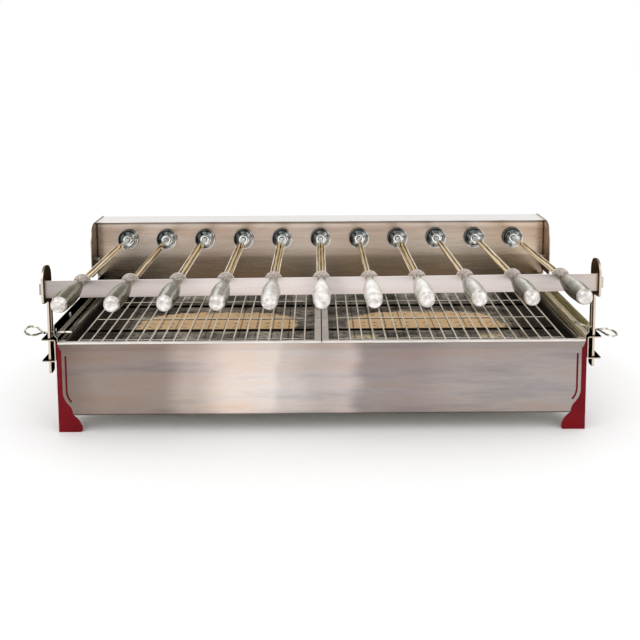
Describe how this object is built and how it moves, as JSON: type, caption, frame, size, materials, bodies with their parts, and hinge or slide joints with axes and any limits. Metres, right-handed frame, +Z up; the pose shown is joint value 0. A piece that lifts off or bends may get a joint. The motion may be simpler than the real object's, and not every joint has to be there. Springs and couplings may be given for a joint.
{
  "type": "charcoal grill",
  "caption": "Table-top charcoal grill: long stainless firebox with ember trays and wire grates under a row of motor-turned skewers with cast handles, resting on a height-set front bar.",
  "frame": {"origin": "bottom centre of the bounding box, on the surface the grill stands on", "axes": "+X right, +Y to the back (the cook stands at -Y), +Z up"},
  "size_m": [1.1291, 0.723, 0.332],
  "materials": {
    "spindle_chrome": "bright chrome",
    "skewer_steel": "bright rolled stainless steel",
    "handle_aluminium": "polished casting",
    "chain_steel": "oiled steel",
    "gearmotor_casting": "cast, as moulded",
    "bush_brass": "machined bronze",
    "inner_steel": "mill finish",
    "stainless": "brushed stainless steel",
    "black_plastic": "black moulded plastic",
    "rocker_plastic": "red moulded plastic",
    "leg_paint": "dark red satin paint",
    "tray_steel": "heat-darkened stainless steel",
    "grate_wire": "bright drawn wire",
    "plate_steel": "laser-cut stainless steel",
    "pin_steel": "bent wire",
    "rivet_steel": "stainless steel"
  },
  "bodies": {
    "casing": {"drive_chain": "chain_steel", "gearmotor": "gearmotor_casting", "spindle_bushes": "bush_brass", "bearing_plate": "inner_steel", "housing_face": "stainless", "housing_cover": "stainless", "housing_base": "inner_steel", "housing_end_plates": "stainless", "power_inlet": "black_plastic", "front_panel": "stainless", "right_side_wall": "stainless", "left_side_wall": "stainless", "firebox_floor": "stainless", "front_legs": "leg_paint", "rear_legs": "leg_paint", "right_ember_tray": "tray_steel", "left_ember_tray": "tray_steel", "guide_brackets": "plate_steel", "rivets": "rivet_steel"},
    "skewer_01": {"spindle_01": "spindle_chrome", "skewer_blade_01": "skewer_steel", "skewer_handle_01": "handle_aluminium"},
    "skewer_02": {"spindle_02": "spindle_chrome", "skewer_blade_02": "skewer_steel", "skewer_handle_02": "handle_aluminium"},
    "skewer_03": {"spindle_03": "spindle_chrome", "skewer_blade_03": "skewer_steel", "skewer_handle_03": "handle_aluminium"},
    "skewer_04": {"spindle_04": "spindle_chrome", "skewer_blade_04": "skewer_steel", "skewer_handle_04": "handle_aluminium"},
    "skewer_05": {"spindle_05": "spindle_chrome", "skewer_blade_05": "skewer_steel", "skewer_handle_05": "handle_aluminium"},
    "skewer_06": {"spindle_06": "spindle_chrome", "skewer_blade_06": "skewer_steel", "skewer_handle_06": "handle_aluminium"},
    "skewer_07": {"spindle_07": "spindle_chrome", "skewer_blade_07": "skewer_steel", "skewer_handle_07": "handle_aluminium"},
    "skewer_08": {"spindle_08": "spindle_chrome", "skewer_blade_08": "skewer_steel", "skewer_handle_08": "handle_aluminium"},
    "skewer_09": {"spindle_09": "spindle_chrome", "skewer_blade_09": "skewer_steel", "skewer_handle_09": "handle_aluminium"},
    "skewer_10": {"spindle_10": "spindle_chrome", "skewer_blade_10": "skewer_steel", "skewer_handle_10": "handle_aluminium"},
    "skewer_11": {"spindle_11": "spindle_chrome", "skewer_blade_11": "skewer_steel", "skewer_handle_11": "handle_aluminium"},
    "front_rest": {"rest_bar": "stainless", "right_rest_plate": "plate_steel", "left_rest_plate": "plate_steel"},
    "ring_pin_right": {"right_ring_pin": "pin_steel"},
    "ring_pin_left": {"left_ring_pin": "pin_steel"},
    "grate_right": {"right_grate": "grate_wire"},
    "grate_left": {"left_grate": "grate_wire"},
    "rocker": {"switch_rocker": "rocker_plastic"}
  },
  "joints": [
    {"name": "skewer_01_turn", "type": "hinge", "parent": "casing", "child": "skewer_01", "pos_m": [-0.4445, 0.27446, 0.29], "axis": [0, 1, -0.0087], "continuous": true},
    {"name": "skewer_02_turn", "type": "hinge", "parent": "casing", "child": "skewer_02", "pos_m": [-0.3556, 0.27446, 0.29], "axis": [0, 0.9999, -0.0101], "continuous": true},
    {"name": "skewer_03_turn", "type": "hinge", "parent": "casing", "child": "skewer_03", "pos_m": [-0.2667, 0.27446, 0.29], "axis": [0, 0.9999, -0.0115], "continuous": true},
    {"name": "skewer_04_turn", "type": "hinge", "parent": "casing", "child": "skewer_04", "pos_m": [-0.1778, 0.27446, 0.29], "axis": [0, 0.9999, -0.0129], "continuous": true},
    {"name": "skewer_05_turn", "type": "hinge", "parent": "casing", "child": "skewer_05", "pos_m": [-0.0889, 0.27446, 0.29], "axis": [0, 0.9999, -0.0143], "continuous": true},
    {"name": "skewer_06_turn", "type": "hinge", "parent": "casing", "child": "skewer_06", "pos_m": [0, 0.27446, 0.29], "axis": [0, 0.9999, -0.0157], "continuous": true},
    {"name": "skewer_07_turn", "type": "hinge", "parent": "casing", "child": "skewer_07", "pos_m": [0.0889, 0.27446, 0.29], "axis": [0, 0.9999, -0.0171], "continuous": true},
    {"name": "skewer_08_turn", "type": "hinge", "parent": "casing", "child": "skewer_08", "pos_m": [0.1778, 0.27446, 0.29], "axis": [0, 0.9998, -0.0185], "continuous": true},
    {"name": "skewer_09_turn", "type": "hinge", "parent": "casing", "child": "skewer_09", "pos_m": [0.2667, 0.27446, 0.29], "axis": [0, 0.9998, -0.0199], "continuous": true},
    {"name": "skewer_10_turn", "type": "hinge", "parent": "casing", "child": "skewer_10", "pos_m": [0.3556, 0.27446, 0.29], "axis": [0, 0.9998, -0.0213], "continuous": true},
    {"name": "skewer_11_turn", "type": "hinge", "parent": "casing", "child": "skewer_11", "pos_m": [0.4445, 0.27446, 0.29], "axis": [0, 0.9997, -0.0227], "continuous": true},
    {"name": "front_rest_height", "type": "slide", "parent": "casing", "child": "front_rest", "axis": [0, 0, 1], "range_m": [-0.055, 0]},
    {"name": "ring_pin_right_pull", "type": "slide", "parent": "casing", "child": "ring_pin_right", "axis": [0.9472, 0, -0.3206], "range_m": [0, 0.08]},
    {"name": "grate_right_lift", "type": "slide", "parent": "casing", "child": "grate_right", "axis": [0, 0, 1], "range_m": [0, 0.08]},
    {"name": "ring_pin_left_pull", "type": "slide", "parent": "casing", "child": "ring_pin_left", "axis": [-1, 0, 0], "range_m": [0, 0.08]},
    {"name": "grate_left_lift", "type": "slide", "parent": "casing", "child": "grate_left", "axis": [0, 0, 1], "range_m": [0, 0.08]},
    {"name": "rocker_tilt", "type": "hinge", "parent": "casing", "child": "rocker", "pos_m": [0.43, 0.35546, 0.249], "axis": [1, 0, 0], "range_deg": [-16, 0]}
  ],
  "couplings": [
    {"joint": "skewer_01_turn", "follows": "skewer_06_turn", "ratio": 1},
    {"joint": "skewer_02_turn", "follows": "skewer_06_turn", "ratio": 1},
    {"joint": "skewer_03_turn", "follows": "skewer_06_turn", "ratio": 1},
    {"joint": "skewer_04_turn", "follows": "skewer_06_turn", "ratio": 1},
    {"joint": "skewer_05_turn", "follows": "skewer_06_turn", "ratio": 1},
    {"joint": "skewer_07_turn", "follows": "skewer_06_turn", "ratio": 1},
    {"joint": "skewer_08_turn", "follows": "skewer_06_turn", "ratio": 1},
    {"joint": "skewer_09_turn", "follows": "skewer_06_turn", "ratio": 1},
    {"joint": "skewer_10_turn", "follows": "skewer_06_turn", "ratio": 1},
    {"joint": "skewer_11_turn", "follows": "skewer_06_turn", "ratio": 1}
  ]
}
